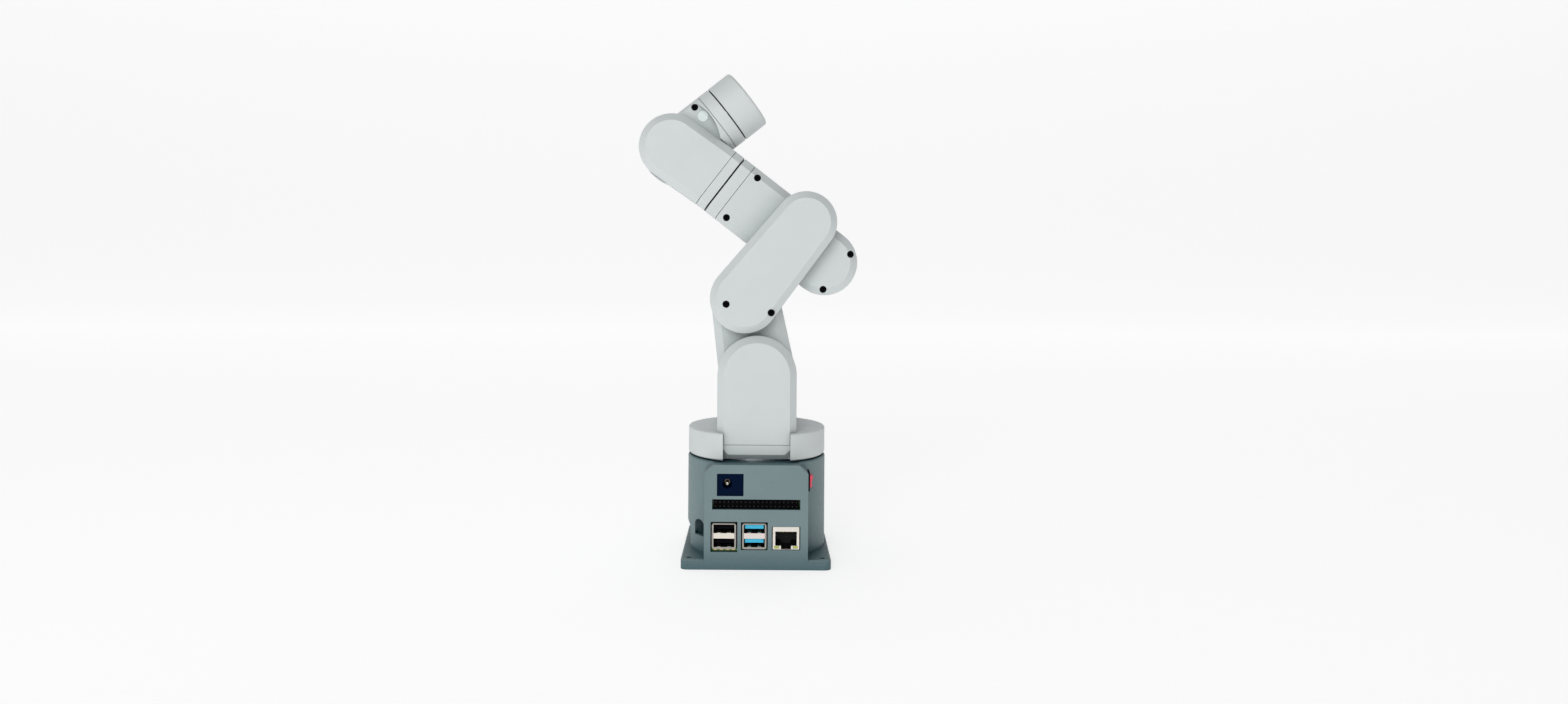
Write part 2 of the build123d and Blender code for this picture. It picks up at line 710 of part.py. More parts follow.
housing_out = layer_out - cover_t - 0.05
column_way = 16.0           # half width of the cable way through the column
column_way_top = crotch_z - wall - (column_way - crotch_flat) * tan(radians(crotch_slope))
servo_face_y = 16.7
servo3_y = 14.2
with BuildPart() as shoulder_housing:
    with BuildSketch(Plane.XZ.offset(housing_out)):
        ear_outline(ear_r, disc_z1)
    extrude(amount=-2 * housing_out)
    # fork: everything above the sloping floor between the ears goes
    with BuildSketch(Plane.XZ.offset(layer_in)):
        with BuildLine():
            Polyline(
                (-crotch_flat - 30, crotch_z - 30 * tan(radians(crotch_slope))),
                (-crotch_flat, crotch_z),
                (crotch_flat, crotch_z),
                (crotch_flat + 30, crotch_z - 30 * tan(radians(crotch_slope))),
                (crotch_flat + 30, crotch_z + 60),
                (-crotch_flat - 30, crotch_z + 60),
                close=True,
            )
        make_face()
    extrude(amount=-2 * layer_in, mode=Mode.SUBTRACT)
    # hollows of the ears, open to the covers
    for side in (1, -1):
        with BuildSketch(Plane.XZ.offset(side * housing_out)):
            ear_outline(ear_r - wall, disc_z1 + 4)
        extrude(amount=-side * (housing_out - layer_in - 3.0), mode=Mode.SUBTRACT)
    # cable way through the column
    with BuildSketch(Plane.XY.offset(disc_z1)):
        with Locations((0, 0)):
            Rectangle(2 * column_way, 2 * (layer_in - 2))
    extrude(amount=column_way_top - disc_z1, mode=Mode.SUBTRACT)
    # far pivot boss, and the hole for the near horn's hub
    with BuildSketch(Plane.XZ.offset(-layer_in)):
        with Locations(joint2):
            Circle(4.0)
    extrude(amount=3.0)
    with BuildSketch(Plane.XZ.offset(layer_in)):
        with Locations(joint2):
            Circle(5.2)
    extrude(amount=3.0, mode=Mode.SUBTRACT)
save(shoulder_housing, "shoulder_housing")

servo2_face = Plane(origin=(joint2[0], -servo_face_y, joint2[1]), x_dir=(0, 0, 1), z_dir=near_normal)
j2_horn = make_horn(servo2_face, 5.0, layer_in + 3.0 - servo_face_y, 10.0, 2.2)
save(j2_horn, "j2_horn")

# ---- Upper arm ----------------------------------------------------------------------
arm_lean = degrees(atan2(elbow_low[1] - joint2[1], elbow_low[0] - joint2[0]))
plate_core = layer_out - cover_t - 0.05


def body_profile(shrink):
    """Lower body of the upper arm, from the shoulder axis to the side plates."""
    two_circle_hull(joint2, upper_low_r - shrink, elbow_low, upper_high_r - shrink)


def plate_profile(shrink):
    """Side plate of the upper arm, from its lower centre to the elbow axis."""
    two_circle_hull(elbow_low, upper_high_r - shrink, joint3, elbow_r - shrink)


with BuildPart() as upper_arm_cavity:
    with BuildSketch(Plane.XZ.offset(wall - layer_mid)):
        body_profile(wall)
    extrude(amount=2 * (layer_mid - wall))
    rims = upper_arm_cavity.faces().sort_by(Axis.Y)
    chamfer(rims[0].edges() + rims[-1].edges(), body_bevel - inner_bevel_less)
    with BuildSketch(Plane.XZ.offset(-layer_mid)):
        with Locations(joint3):
            Circle(elbow_clear_r + wall)
    extrude(amount=2 * layer_mid, mode=Mode.SUBTRACT)

with BuildPart() as upper_arm_shell:
    with BuildSketch(Plane.XZ.offset(-layer_mid)):
        body_profile(0)
    extrude(amount=2 * layer_mid)
    rims = upper_arm_shell.faces().sort_by(Axis.Y)
    chamfer(rims[0].edges() + rims[-1].edges(), body_bevel)
    add(upper_arm_cavity.part, mode=Mode.SUBTRACT)
    # hollow for the forearm's rear end
    with BuildSketch(Plane.XZ.offset(-layer_mid)):
        with Locations(joint3):
            Circle(elbow_clear_r)
    extrude(amount=2 * layer_mid, mode=Mode.SUBTRACT)
    # side plates, each joined to the body by a short boss
    for side in (1, -1):
        with BuildSketch(Plane.XZ.offset(side * layer_in)):
            plate_profile(0)
        extrude(amount=side * (plate_core - layer_in))
        with BuildSketch(Plane.XZ.offset(side * (layer_in + 3.0))):
            plate_profile(wall)
        extrude(amount=side * (plate_core - layer_in - 3.0), mode=Mode.SUBTRACT)
        with BuildSketch(Plane.XZ.offset(side * (layer_mid - 0.5))):
            with Locations(elbow_low):
                Circle(13.0)
            with Locations(joint3):
                Circle(elbow_clear_r + 0.5, mode=Mode.SUBTRACT)
        extrude(amount=side * (layer_in - layer_mid + 0.8))
    # shoulder: hub hole and far bearing seat; elbow: hub hole and far pivot boss
    with BuildSketch(Plane.XZ.offset(layer_mid)):
        with Locations(joint2):
            Circle(5.3)
    extrude(amount=-wall - 0.1, mode=Mode.SUBTRACT)
    with BuildSketch(Plane.XZ.offset(-layer_mid)):
        with Locations(joint2):
            Circle(7.0)
    extrude(amount=wall + 0.1, mode=Mode.SUBTRACT)
    with BuildSketch(Plane.XZ.offset(layer_in)):
        with Locations(joint3):
            Circle(4.2)
    extrude(amount=3.0, mode=Mode.SUBTRACT)
    with BuildSketch(Plane.XZ.offset(-layer_in)):
        with Locations(joint3):
            Circle(3.0)
    extrude(amount=3.5)
save(upper_arm_shell, "upper_arm_shell")

plate_screws = [(-19.1, 157.7), (8.3, 152.7)]


def plate_cover(side):
    """Outer cover of one side plate, bevelled round its outer face."""
    with BuildPart() as cover:
        with BuildSketch(Plane.XZ.offset(side * layer_out)):
            plate_profile(0)
        extrude(amount=-side * cover_t)
        face = cover.faces().sort_by(Axis.Y)[0 if side > 0 else -1]
        chamfer(face.edges(), plate_bevel)
        with BuildSketch(Plane.XZ.offset(side * (layer_out - cover_t))):
            plate_profile(plate_bevel + 1.0)
        extrude(amount=side * (cover_t - wall), mode=Mode.SUBTRACT)
        with BuildSketch(Plane.XZ.offset(side * layer_out)):
            with Locations(*plate_screws):
                Circle(screw_r + 0.1)
        extrude(amount=-side * cover_t, mode=Mode.SUBTRACT)
    return cover


upper_arm_cover = plate_cover(1)
save(upper_arm_cover, "upper_arm_cover")
upper_arm_far_cover = plate_cover(-1)
save(upper_arm_far_cover, "upper_arm_far_cover")

screw_planes = []
for side in (1, -1):
    for spot in plate_screws:
        screw_planes.append(
            Plane(origin=(spot[0], -side * (layer_out - screw_sink), spot[1]), z_dir=(0, -side, 0))
        )
upper_arm_screws = make_screws(screw_planes, screw_r, 1.6)
save(upper_arm_screws, "upper_arm_screws")

servo2_body = Plane(origin=servo2_face.origin, x_dir=direction(arm_lean), z_dir=near_normal)
j2_servo = make_servo(servo2_body, 40, 24, 30.0, 12)
save(j2_servo, "j2_servo")
j2_bearing = make_bearing(
    Plane(origin=(joint2[0], layer_mid, joint2[1]), z_dir=near_normal), 4.06, 7.0, wall
)
save(j2_bearing, "j2_bearing")

servo3_face = Plane(origin=(elbow.X, -servo3_y, elbow.Z), x_dir=forearm_side, z_dir=near_normal)
j3_horn = make_horn(servo3_face, 4.0, layer_in + 3.0 - servo3_y, 9.0, 2.2)
save(j3_horn, "j3_horn")

# ---- Forearm ------------------------------------------------------------------------
cover_line = layer_mid - cover_t - 0.1      # split between the near cover and the shell


def forearm_profile(shrink, end):
    """Side outline of the forearm: round rear end, straight sides, square front."""
    with Locations((-forearm_back, forearm_offset)):
        Circle(limb_half - shrink)
    with Locations(((end - forearm_back) / 2, forearm_offset)):
        Rectangle(end + forearm_back, 2 * (limb_half - shrink))


forearm_shell_end = forearm_ring_start - panel_gap
with BuildPart() as forearm_body:
    with BuildSketch(forearm_plane.offset(-layer_mid)):
        forearm_profile(0, forearm_shell_end)
    extrude(amount=2 * layer_mid)
    rims = forearm_body.faces().sort_by(Axis.Y)
    front = forearm_body.faces().sort_by(Axis(elbow, forearm_dir))[-1]
    front_edges = front.edges()
    rim_edges = (rims[0].edges() + rims[-1].edges()).filter_by(lambda e: e not in front_edges)
    chamfer(rim_edges, forearm_bevel)

with BuildPart() as forearm_cavity:
    with BuildSketch(forearm_plane.offset(-layer_mid + wall)):
        forearm_profile(wall, forearm_shell_end - wall)
    extrude(amount=2 * layer_mid)
    far_face = forearm_cavity.faces().sort_by(Axis.Y)[-1]
    chamfer(far_face.edges(), forearm_bevel - inner_bevel_less)

with BuildPart() as forearm_shell:
    add(forearm_body.part)
    split(bisect_by=Plane.XZ.offset(cover_line), keep=Keep.BOTTOM)
    add(forearm_cavity.part, mode=Mode.SUBTRACT)
    # seat of the far pivot bearing, and the hole for the wrist servo's wires
    with BuildSketch(forearm_plane.offset(-layer_mid)):
        Circle(5.0)
    extrude(amount=wall + 0.6, mode=Mode.SUBTRACT)
    with BuildSketch(along_forearm(forearm_shell_end - wall)):
        Rectangle(26.0, 27.0)
    extrude(amount=wall, mode=Mode.SUBTRACT)
save(forearm_shell, "forearm_shell")

forearm_spots = [(40.5, 15.6), (40.5, -15.6), (-34.0, 13.8), (-34.0, -13.8)]
forearm_spots = [(along, forearm_offset + side) for along, side in forearm_spots]
with BuildPart() as forearm_cover:
    add(forearm_body.part)
    split(bisect_by=Plane.XZ.offset(cover_line + 0.1), keep=Keep.TOP)
    with BuildSketch(forearm_plane.offset(cover_line)):
        forearm_profile(forearm_bevel + 1.2, forearm_shell_end - 3)
    extrude(amount=cover_t - wall, mode=Mode.SUBTRACT)
    with BuildSketch(forearm_plane.offset(cover_line)):
        Circle(4.4)
    extrude(amount=2 * cover_t, mode=Mode.SUBTRACT)
    with BuildSketch(forearm_plane.offset(cover_line)):
        with Locations(*forearm_spots):
            Circle(screw_r + 0.1)
    extrude(amount=2 * cover_t, mode=Mode.SUBTRACT)
save(forearm_cover, "forearm_cover")

screw_face = forearm_plane.offset(layer_mid - screw_sink - 0.9)
spot_planes = [
    Plane(origin=screw_face.from_local_coords((along, side, 0)), z_dir=near_normal)
    for along, side in forearm_spots
]
forearm_screws = make_screws(spot_planes, screw_r, 1.4)
save(forearm_screws, "forearm_screws")

with BuildPart() as forearm_ring:
    with BuildSketch(along_forearm(forearm_ring_start)):
        limb_section(0, forearm_bevel)
    extrude(amount=forearm_ring_t)
    with BuildSketch(along_forearm(forearm_ring_start)):
        Circle(7.0)
    extrude(amount=forearm_ring_t, mode=Mode.SUBTRACT)
    with BuildSketch(along_forearm(forearm_ring_start)):
        limb_section(wall, forearm_bevel)
    extrude(amount=forearm_ring_t - 2.5, mode=Mode.SUBTRACT)
save(forearm_ring, "forearm_ring")

j3_servo = make_servo(servo3_face, 30, 22, 28.0, 4.6)
save(j3_servo, "j3_servo")
j3_bearing = make_bearing(
    Plane(origin=(elbow.X, layer_mid, elbow.Z), z_dir=near_normal), 3.06, 5.0, wall
)
save(j3_bearing, "j3_bearing")

servo4_at = forearm_end - 2.5
servo4_face = along_forearm(servo4_at)
j4_servo = make_servo(servo4_face, 26, 24, 26.0, 13)
save(j4_servo, "j4_servo")

# ---- Wrist --------------------------------------------------------------------------
servo4_wrist_ring = joint5_along + wrist_start      # the ring's first face, from the elbow
j4_horn = make_horn(servo4_face, 5.0, 2.5 + seam_gap, 10.0, 2.2)
save(j4_horn, "j4_horn")

with BuildPart() as wrist_ring:
    with BuildSketch(along_forearm(servo4_wrist_ring)):
        limb_section(0, forearm_bevel)
    extrude(amount=wrist_ring_t)
    with BuildSketch(along_forearm(servo4_wrist_ring)):
        Circle(10.1)
    extrude(amount=2.3, mode=Mode.SUBTRACT)
    with BuildSketch(along_forearm(servo4_wrist_ring)):
        Circle(6.0)
    extrude(amount=wrist_ring_t, mode=Mode.SUBTRACT)
save(wrist_ring, "wrist_ring")

wrist_block_back = wrist_ring_end + panel_gap
end_screw_dir = direction(forearm_angle + 24)
end_screw_face = Plane(
    origin=wrist_axis + end_screw_dir * limb_half + Vector(0, -13.2, 0),
    x_dir=near_normal,
    z_dir=end_screw_dir,
)
with BuildPart() as wrist_shell:
    with BuildSketch(wrist_plane.offset(-layer_mid)):
        Circle(limb_half)
        with Locations((wrist_block_back + 0.5, forearm_offset - wrist_offset)):
            Rectangle(1.0, 2 * limb_half)
        make_hull()
    extrude(amount=2 * layer_mid)
    rims = wrist_shell.faces().sort_by(Axis.Y)
    back = wrist_shell.faces().sort_by(Axis(wrist_axis, forearm_dir))[0]
    back_edges = back.edges()
    rim_edges = (rims[0].edges() + rims[-1].edges()).filter_by(lambda e: e not in back_edges)
    chamfer(rim_edges, forearm_bevel)
    # space between the ears
    with BuildSketch(wrist_plane.offset(-wrist_ear_in)):
        with Locations((wrist_block_along + 50, 0)):
            Rectangle(100, 4 * limb_half)
    extrude(amount=2 * wrist_ear_in, mode=Mode.SUBTRACT)
    # horn recess in the near ear, bearing seat in the far ear
    with BuildSketch(wrist_plane.offset(wrist_ear_in)):
        Circle(9.6)
    extrude(amount=3.3, mode=Mode.SUBTRACT)
    with BuildSketch(wrist_plane.offset(-wrist_ear_in)):
        Circle(7.0)
    extrude(amount=-wall, mode=Mode.SUBTRACT)
    with BuildSketch(along_forearm(servo4_wrist_ring + wrist_ring_t)):
        Circle(6.0)
    extrude(amount=10, mode=Mode.SUBTRACT)
    # screw hole in the round end of the near ear
    with BuildSketch(end_screw_face):
        Circle(1.5)
    extrude(amount=-4.0, mode=Mode.SUBTRACT)
save(wrist_shell, "wrist_shell")

wrist_screws = make_screws([end_screw_face.offset(-1.0)], 1.4, 1.4)
save(wrist_screws, "wrist_screws")

# ---- Tool head ----------------------------------------------------------------------
servo5_y = -8.0
servo5_face = Plane(origin=wrist_axis + Vector(0, servo5_y, 0), x_dir=-tool_side, z_dir=near_normal)
j5_horn = make_horn(servo5_face, 4.6, wrist_ear_in + servo5_y + 0.3, 9.5, 2.2)
save(j5_horn, "j5_horn")

lens_spot = (26.9, 7.3)         # on the flat near side, from the tool axis's start
tool_screw_spot = (26.4, 14.9)


def ear_room():
    """What the wrist's ears sweep over the tool head, seen from the side."""
    with Locations((0, tool_offset)):
        Circle(head_flat_r)
    for angle, half_width in ear_at_limits:
        with Locations(Location((0, tool_offset), angle)):
            Rectangle(60, 2 * half_width, align=(Align.MIN, Align.CENTER))


with BuildPart() as tool_housing:
    # tube towards the tool, flattened on both sides where it passes between the ears
    with BuildSketch(along_tool(0)):
        Circle(tube_r)
    extrude(amount=tube_ring[0] - panel_gap)
    with BuildSketch(tool_plane.offset(-tube_r - 1)):
        ear_room()
    extrude(amount=tube_r + 1 - head_half, mode=Mode.SUBTRACT)
    with BuildSketch(tool_plane.offset(head_half)):
        ear_room()
    extrude(amount=tube_r + 1 - head_half, mode=Mode.SUBTRACT)
    with BuildSketch(tool_plane.offset(-head_half)):
        Circle(head_r)
    extrude(amount=2 * head_half)
    # hollow for the two servos
    with BuildSketch(tool_plane.offset(-head_half + wall)):
        Circle(head_r - wall)
    extrude(amount=2 * (head_half - wall), mode=Mode.SUBTRACT)
    with BuildSketch(along_tool(8)):
        Circle(tube_r - wall)
        Rectangle(2 * (head_half - wall), 2 * tube_r, mode=Mode.INTERSECT)
    extrude(amount=tube_ring[0], mode=Mode.SUBTRACT)
    # hub hole towards the near ear, pivot boss towards the far ear
    with BuildSketch(tool_plane.offset(head_half)):
        with Locations((0, tool_offset)):
            Circle(5.0)
    extrude(amount=-wall, mode=Mode.SUBTRACT)
    with BuildSketch(tool_plane.offset(-head_half)):
        with Locations((0, tool_offset)):
            Circle(4.0)
    extrude(amount=-3.0)
    # lens seat and cover screw hole on the near flat side
    with BuildSketch(tool_plane.offset(head_half)):
        with Locations(lens_spot):
            Circle(3.5)
    extrude(amount=-1.2, mode=Mode.SUBTRACT)
    with BuildSketch(tool_plane.offset(head_half)):
        with Locations(tool_screw_spot):
            Circle(screw_r + 0.1)
    extrude(amount=-4.5, mode=Mode.SUBTRACT)
save(tool_housing, "tool_housing")

with BuildPart() as tool_ring:
    with BuildSketch(along_tool(tube_ring[0])):
        Circle(tube_r)
        Circle(8.6, mode=Mode.SUBTRACT)
    extrude(amount=tube_ring[1] - tube_ring[0])
    with BuildSketch(along_tool(tube_ring[0])):
        Circle(tube_r - wall)
    extrude(amount=4.5, mode=Mode.SUBTRACT)
save(tool_ring, "tool_ring")

with BuildPart() as indicator_lens:
    with BuildSketch(tool_plane.offset(head_half - 1.2)):
        with Locations(lens_spot):
            Circle(3.4)
    extrude(amount=1.3)
save(indicator_lens, "indicator_lens")

tool_screw_face = Plane(
    origin=tool_plane.from_local_coords((*tool_screw_spot, head_half - screw_sink)), z_dir=near_normal
)
tool_screws = make_screws([tool_screw_face], screw_r, 0.3)
save(tool_screws, "tool_screws")

j5_servo = make_servo(servo5_face, 26, 20, 15.0, 9)
save(j5_servo, "j5_servo")
j5_bearing = make_bearing(
    Plane(origin=wrist_axis + Vector(0, wrist_ear_in + wall, 0), z_dir=near_normal), 4.06, 7.0, wall - 0.1
)
save(j5_bearing, "j5_bearing")

servo6_at = tube_ring[1] - 2.5
with BuildPart() as j6_servo:
    with BuildSketch(along_tool(servo6_at)):
        Circle(7.6)
    extrude(amount=-(servo6_at - 10.5))
    with BuildSketch(along_tool(servo6_at)):
        Circle(shaft_hole_r)
    extrude(amount=-(shaft_in + 0.4), mode=Mode.SUBTRACT)
save(j6_servo, "j6_servo")

# ---- Tool flange --------------------------------------------------------------------
j6_horn = make_horn(along_tool(servo6_at), 5.0, flange_along[0] - servo6_at + 0.4, 9.0, 2.2)
save(j6_horn, "j6_horn")

with BuildPart() as tool_flange:
    with BuildSketch(along_tool(flange_along[0])):
        Circle(tube_r)
    extrude(amount=flange_along[1] - flange_along[0])
    end_face = tool_flange.faces().sort_by(Axis(wrist_axis, tool_dir))[-1]
    fillet(end_face.edges(), 1.8)
    with BuildSketch(along_tool(flange_along[0])):
        Circle(tube_r - wall)
    extrude(amount=flange_along[1] - flange_along[0] - 8, mode=Mode.SUBTRACT)
    with BuildSketch(along_tool(flange_along[0] + 2.6)):
        Circle(11.0)
    extrude(amount=flange_along[1] - flange_along[0] - 8)
    with BuildSketch(along_tool(flange_along[1])):
        Circle(pilot_r)
    extrude(amount=-pilot_depth, mode=Mode.SUBTRACT)
    with BuildSketch(along_tool(flange_along[1])):
        with PolarLocations(flange_pcd / 2, flange_holes):
            Circle(flange_hole_r)
    extrude(amount=-6.0, mode=Mode.SUBTRACT)
save(tool_flange, "tool_flange")
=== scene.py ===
"""Looks of the desktop robot arm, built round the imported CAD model."""
import json
import math

import bmesh
import bpy
from mathutils import Matrix, Vector


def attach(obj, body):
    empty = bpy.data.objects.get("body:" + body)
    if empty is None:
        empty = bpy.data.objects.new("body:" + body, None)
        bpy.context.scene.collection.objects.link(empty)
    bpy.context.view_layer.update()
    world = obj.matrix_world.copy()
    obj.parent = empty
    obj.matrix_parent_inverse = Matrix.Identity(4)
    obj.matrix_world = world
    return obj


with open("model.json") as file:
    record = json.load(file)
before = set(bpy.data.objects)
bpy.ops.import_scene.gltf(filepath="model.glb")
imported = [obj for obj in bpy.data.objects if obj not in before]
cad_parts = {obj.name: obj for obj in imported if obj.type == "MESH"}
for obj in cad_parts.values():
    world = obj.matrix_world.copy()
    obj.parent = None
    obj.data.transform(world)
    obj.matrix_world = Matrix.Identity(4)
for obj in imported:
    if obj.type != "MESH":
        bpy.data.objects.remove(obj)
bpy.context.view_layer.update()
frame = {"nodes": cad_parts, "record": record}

MM = 0.001

# ---- Camera: behind the arm, level, a little above the turntable ---------------------
SENSOR_W = 36.0
LENS_MM = 25.0714
SHIFT_RIGHT = 0.016645    # lens shifts, as shares of the picture's width
SHIFT_DOWN = 0.058036
CAMERA_AT = Vector((0.0, -0.695, 0.184))
CAMERA_ROLL = math.radians(-0.4)


def add_camera():
    data = bpy.data.cameras.new("camera")
    data.sensor_width = SENSOR_W
    data.lens = LENS_MM
    data.shift_x = SHIFT_RIGHT
    data.shift_y = -SHIFT_DOWN
    camera = bpy.data.objects.new("camera", data)
    camera.location = CAMERA_AT
    camera.rotation_euler = (math.pi / 2, CAMERA_ROLL, 0)
    bpy.context.scene.collection.objects.link(camera)
    bpy.context.scene.camera = camera


# ---- Light and floor ----------------------------------------------------------------
LIGHT_TARGET = (0, 0, 0.16)      # about the middle of the arm
FLOOR_GREY = (0.45, 0.45, 0.45)
FLOOR_GLOW = 0.68


def add_area_light(name, place, size, power, colour):
    data = bpy.data.lights.new(name, "AREA")
    data.shape = "DISK"
    data.size = size
    data.energy = power
    data.color = colour
    light = bpy.data.objects.new(name, data)
    light.location = place
    aim = Vector(LIGHT_TARGET) - Vector(place)
    light.rotation_euler = aim.to_track_quat("-Z", "Y").to_euler()
    bpy.context.scene.collection.objects.link(light)


def add_world(bright, dim, towards):
    """White surroundings, bright on one side and fading to the other."""
    world = bpy.data.worlds.new("studio")
    world.use_nodes = True
    tree = world.node_tree
    background = tree.nodes["Background"]
    background.inputs["Color"].default_value = (1.0, 1.0, 1.0, 1.0)
    coordinates = tree.nodes.new("ShaderNodeTexCoord")
    along = tree.nodes.new("ShaderNodeVectorMath")
    along.operation = "DOT_PRODUCT"
    along.inputs[1].default_value = Vector(towards).normalized()
    spread = tree.nodes.new("ShaderNodeMapRange")
    spread.inputs["From Min"].default_value = -1.0
    spread.inputs["From Max"].default_value = 1.0
    spread.inputs["To Min"].default_value = dim
    spread.inputs["To Max"].default_value = bright
    tree.links.new(coordinates.outputs["Generated"], along.inputs[0])
    tree.links.new(along.outputs["Value"], spread.inputs["Value"])
    tree.links.new(spread.outputs["Result"], background.inputs["Strength"])
    bpy.context.scene.world = world


def add_floor():
    """Pale floor that curves up into a pale backdrop."""
    front, bend_start, radius, top = -3.0, 2.2, 1.2, 3.4
    profile = [(front, 0.0), (bend_start, 0.0)]
    steps = 24
    for i in range(1, steps + 1):
        angle = math.pi / 2 * i / steps
        profile.append((bend_start + radius * math.sin(angle), radius * (1 - math.cos(angle))))
    profile.append((bend_start + radius, top))
    half = 5.0
    verts = [(x, y, z) for y, z in profile for x in (-half, half)]
    faces = [(2 * i, 2 * i + 1, 2 * i + 3, 2 * i + 2) for i in range(len(profile) - 1)]
    mesh = bpy.data.meshes.new("floor")
    mesh.from_pydata(verts, [], faces)
    mesh.polygons.foreach_set("use_smooth", [True] * len(mesh.polygons))
    floor = bpy.data.objects.new("floor", mesh)
    bpy.context.scene.collection.objects.link(floor)
    material = new_material("floor_paper", FLOOR_GREY, roughness=0.9)
    shader = material.node_tree.nodes["Principled BSDF"]
    shader.inputs["Emission Color"].default_value = (1.0, 1.0, 1.0, 1.0)
    shader.inputs["Emission Strength"].default_value = FLOOR_GLOW
    floor.data.materials.append(material)


# ---- Materials ----------------------------------------------------------------------
def new_material(name, colour, roughness=0.5, metallic=0.0, specular=0.5, coat=0.0):
    material = bpy.data.materials.new(name)
    material.use_nodes = True
    shader = material.node_tree.nodes["Principled BSDF"]
    shader.inputs["Base Color"].default_value = (*colour, 1.0)
    shader.inputs["Roughness"].default_value = roughness
    shader.inputs["Metallic"].default_value = metallic
    shader.inputs["Specular IOR Level"].default_value = specular
    shader.inputs["Coat Weight"].default_value = coat
    return material


def noise(tree, scale, detail=3.0, stretch=None):
    """Noise in object coordinates; scale is in waves per metre."""
    coordinates = tree.nodes.new("ShaderNodeTexCoord")
    texture = tree.nodes.new("ShaderNodeTexNoise")
    texture.inputs["Scale"].default_value = scale
    texture.inputs["Detail"].default_value = detail
    if stretch:
        mapping = tree.nodes.new("ShaderNodeMapping")
        mapping.inputs["Scale"].default_value = stretch
        tree.links.new(coordinates.outputs["Object"], mapping.inputs["Vector"])
        tree.links.new(mapping.outputs["Vector"], texture.inputs["Vector"])
    else:
        tree.links.new(coordinates.outputs["Object"], texture.inputs["Vector"])
    return texture.outputs["Fac"]


def mapped(tree, factor, low, high):
    """Factor from about 0.3..0.7 spread over low..high."""
    spread = tree.nodes.new("ShaderNodeMapRange")
    spread.inputs["From Min"].default_value = 0.3
    spread.inputs["From Max"].default_value = 0.7
    spread.inputs["To Min"].default_value = low
    spread.inputs["To Max"].default_value = high
    tree.links.new(factor, spread.inputs["Value"])
    return spread.outputs["Result"]


def add_grain(material, size_mm, height_mm, stretch=None):
    """Fine moulded grain as a bump."""
    tree = material.node_tree
    bump = tree.nodes.new("ShaderNodeBump")
    bump.inputs["Strength"].default_value = 1.0
    bump.inputs["Distance"].default_value = height_mm * MM
    tree.links.new(noise(tree, 1 / (size_mm * MM), 2.0, stretch), bump.inputs["Height"])
    tree.links.new(bump.outputs["Normal"], tree.nodes["Principled BSDF"].inputs["Normal"])


def add_tone(material, colour, other, size_mm, stretch=None):
    """Slow drift of the colour between two close tones."""
    tree = material.node_tree
    mix = tree.nodes.new("ShaderNodeMix")
    mix.data_type = "RGBA"
    mix.inputs["A"].default_value = (*colour, 1.0)
    mix.inputs["B"].default_value = (*other, 1.0)
    factor = mapped(tree, noise(tree, 1 / (size_mm * MM), stretch=stretch), 0.0, 1.0)
    tree.links.new(factor, mix.inputs["Factor"])
    tree.links.new(mix.outputs["Result"], tree.nodes["Principled BSDF"].inputs["Base Color"])


def add_gloss_drift(material, low, high, size_mm, stretch=None):
    """Slow drift of the roughness between low and high."""
    tree = material.node_tree
    factor = mapped(tree, noise(tree, 1 / (size_mm * MM), stretch=stretch), low, high)
    tree.links.new(factor, tree.nodes["Principled BSDF"].inputs["Roughness"])


def add_contact_shade(material, deep, reach_mm, strength, full_at):
    """Darken the colour towards another in corners and under overhangs."""
    tree = material.node_tree
    shader = tree.nodes["Principled BSDF"]
    under = shader.inputs["Base Color"].links[0].from_socket
    occlusion = tree.nodes.new("ShaderNodeAmbientOcclusion")
    occlusion.inputs["Distance"].default_value = reach_mm * MM
    occlusion.samples = 8
    factor = tree.nodes.new("ShaderNodeMapRange")
    factor.inputs["From Min"].default_value = full_at
    factor.inputs["From Max"].default_value = 0.95
    factor.inputs["To Min"].default_value = strength
    factor.inputs["To Max"].default_value = 0.0
    tree.links.new(occlusion.outputs["AO"], factor.inputs["Value"])
    mix = tree.nodes.new("ShaderNodeMix")
    mix.data_type = "RGBA"
    mix.inputs["B"].default_value = (*deep, 1.0)
    tree.links.new(factor.outputs["Result"], mix.inputs["Factor"])
    tree.links.new(under, mix.inputs["A"])
    tree.links.new(mix.outputs["Result"], shader.inputs["Base Color"])


def moulded(name, colour, roughness, grain_mm=0.35, height_mm=0.012, drift=0.03, specular=0.5):
    """Moulded plastic: fine spark-eroded grain, a slow tone drift and uneven gloss."""
    material = new_material(name, colour, roughness, specular=specular)
    add_tone(material, colour, [c * (1 - drift) for c in colour], 22.0)
    add_gloss_drift(material, roughness - 0.05, roughness + 0.06, 3.0)
    add_grain(material, grain_mm, height_mm)
    return material


METAL_LAY = (1, 1, 12)    # how much finer the marks are along each axis


def metal(name, colour, roughness, metallic=1.0):
    """Drawn or ground metal with a faint lay."""
    material = new_material(name, colour, roughness, metallic=metallic)
    add_tone(material, colour, [c * 0.88 for c in colour], 1.5, METAL_LAY)
    add_gloss_drift(material, roughness - 0.06, roughness + 0.08, 0.8, METAL_LAY)
    add_grain(material, 0.25, 0.004, METAL_LAY)
    return material


def circuit_board(name, mask, trace):
    """Solder mask with faint copper tracks under it."""
    material = new_material(name, mask, 0.35, coat=0.3)
    tree = material.node_tree
    coordinates = tree.nodes.new("ShaderNodeTexCoord")
    brick = tree.nodes.new("ShaderNodeTexBrick")
    brick.inputs["Scale"].default_value = 260.0
    brick.inputs["Mortar Size"].default_value = 0.035
    brick.inputs["Color1"].default_value = (*mask, 1.0)
    brick.inputs["Color2"].default_value = (*[c * 0.8 for c in mask], 1.0)
    brick.inputs["Mortar"].default_value = (*trace, 1.0)
    tree.links.new(coordinates.outputs["Object"], brick.inputs["Vector"])
    tree.links.new(brick.outputs["Color"], tree.nodes["Principled BSDF"].inputs["Base Color"])
    add_grain(material, 0.5, 0.01)
    return material


